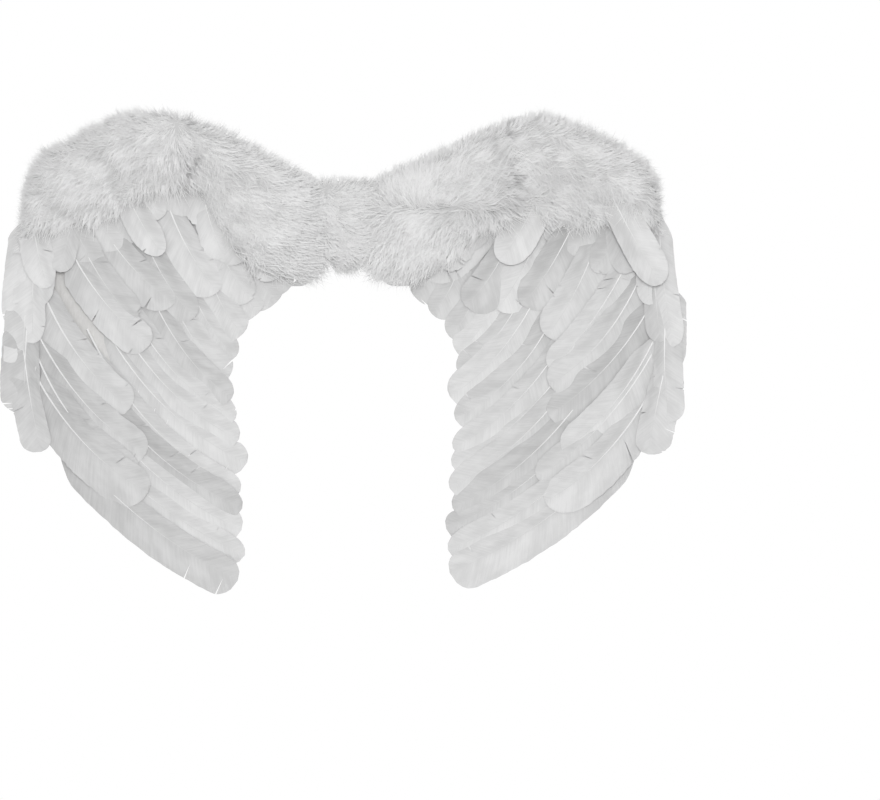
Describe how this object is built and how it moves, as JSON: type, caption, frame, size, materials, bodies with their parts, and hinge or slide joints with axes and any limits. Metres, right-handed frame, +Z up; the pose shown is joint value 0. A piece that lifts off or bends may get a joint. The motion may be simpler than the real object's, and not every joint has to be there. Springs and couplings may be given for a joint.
{
  "type": "feathered costume wings",
  "caption": "Pair of white feathered costume wings on wire frames, folding about a soft centre bridge, with a back pad and two elastic arm loops.",
  "frame": {"origin": "middle of the back pad's rear face, which rests between the wearer's shoulder blades", "axes": "+Z up, +X towards the wearer's right, +Y towards the wearer, so the feathers face -Y"},
  "size_m": [0.65, 0.1271, 0.4591],
  "materials": {
    "goose_feather": "matt white feather with a faint sheen and a glossy quill",
    "short_feather": "matt white feather",
    "down": "soft white down, very matt",
    "felt": "white needled felt, matt",
    "card": "uncoated off-white board",
    "taped_wire": "steel wire wound with white paper tape",
    "pad_cloth": "white brushed knit over foam",
    "elastic": "white ribbed woven elastic"
  },
  "bodies": {
    "bridge": {"back_pad": "pad_cloth", "bridge_bottom_wire": "taped_wire", "bridge_card": "card", "bridge_cover": "felt", "bridge_down_trim": "down", "bridge_top_wire": "taped_wire", "left_strap_bottom_end": "elastic", "left_strap_top_end": "elastic", "right_strap_bottom_end": "elastic", "right_strap_top_end": "elastic"},
    "left_wing": {"left_back_cover": "felt", "left_backing_card": "card", "left_covert_feather_01": "short_feather", "left_covert_feather_02": "short_feather", "left_covert_feather_03": "short_feather", "left_covert_feather_04": "short_feather", "left_covert_feather_05": "short_feather", "left_covert_feather_06": "short_feather", "left_covert_feather_07": "short_feather", "left_down_trim": "down", "left_flight_feather_01": "goose_feather", "left_flight_feather_02": "goose_feather", "left_flight_feather_03": "goose_feather", "left_flight_feather_04": "goose_feather", "left_flight_feather_05": "goose_feather", "left_flight_feather_06": "goose_feather", "left_flight_feather_07": "goose_feather", "left_flight_feather_08": "goose_feather", "left_flight_feather_09": "goose_feather", "left_flight_feather_10": "goose_feather", "left_flight_feather_11": "goose_feather", "left_frame_wire": "taped_wire", "left_short_feathers": "short_feather"},
    "right_wing": {"right_back_cover": "felt", "right_backing_card": "card", "right_covert_feather_01": "short_feather", "right_covert_feather_02": "short_feather", "right_covert_feather_03": "short_feather", "right_covert_feather_04": "short_feather", "right_covert_feather_05": "short_feather", "right_covert_feather_06": "short_feather", "right_covert_feather_07": "short_feather", "right_down_trim": "down", "right_flight_feather_01": "goose_feather", "right_flight_feather_02": "goose_feather", "right_flight_feather_03": "goose_feather", "right_flight_feather_04": "goose_feather", "right_flight_feather_05": "goose_feather", "right_flight_feather_06": "goose_feather", "right_flight_feather_07": "goose_feather", "right_flight_feather_08": "goose_feather", "right_flight_feather_09": "goose_feather", "right_flight_feather_10": "goose_feather", "right_flight_feather_11": "goose_feather", "right_frame_wire": "taped_wire", "right_short_feathers": "short_feather"},
    "left_loop": {"left_strap": "elastic"},
    "right_loop": {"right_strap": "elastic"}
  },
  "joints": [
    {"name": "left_wing_fold", "type": "hinge", "parent": "bridge", "child": "left_wing", "pos_m": [-0.039, -0.0113, 0], "axis": [0, 0, 1], "range_deg": [-8, 80]},
    {"name": "right_wing_fold", "type": "hinge", "parent": "bridge", "child": "right_wing", "pos_m": [0.039, -0.0113, 0], "axis": [0, 0, -1], "range_deg": [-8, 80]},
    {"name": "left_loop_swing", "type": "hinge", "parent": "bridge", "child": "left_loop", "pos_m": [-0.029, -0.0074, 0], "axis": [0, 0, 1], "range_deg": [-30, 25]},
    {"name": "right_loop_swing", "type": "hinge", "parent": "bridge", "child": "right_loop", "pos_m": [0.029, -0.0074, 0], "axis": [0, 0, -1], "range_deg": [-30, 25]}
  ]
}
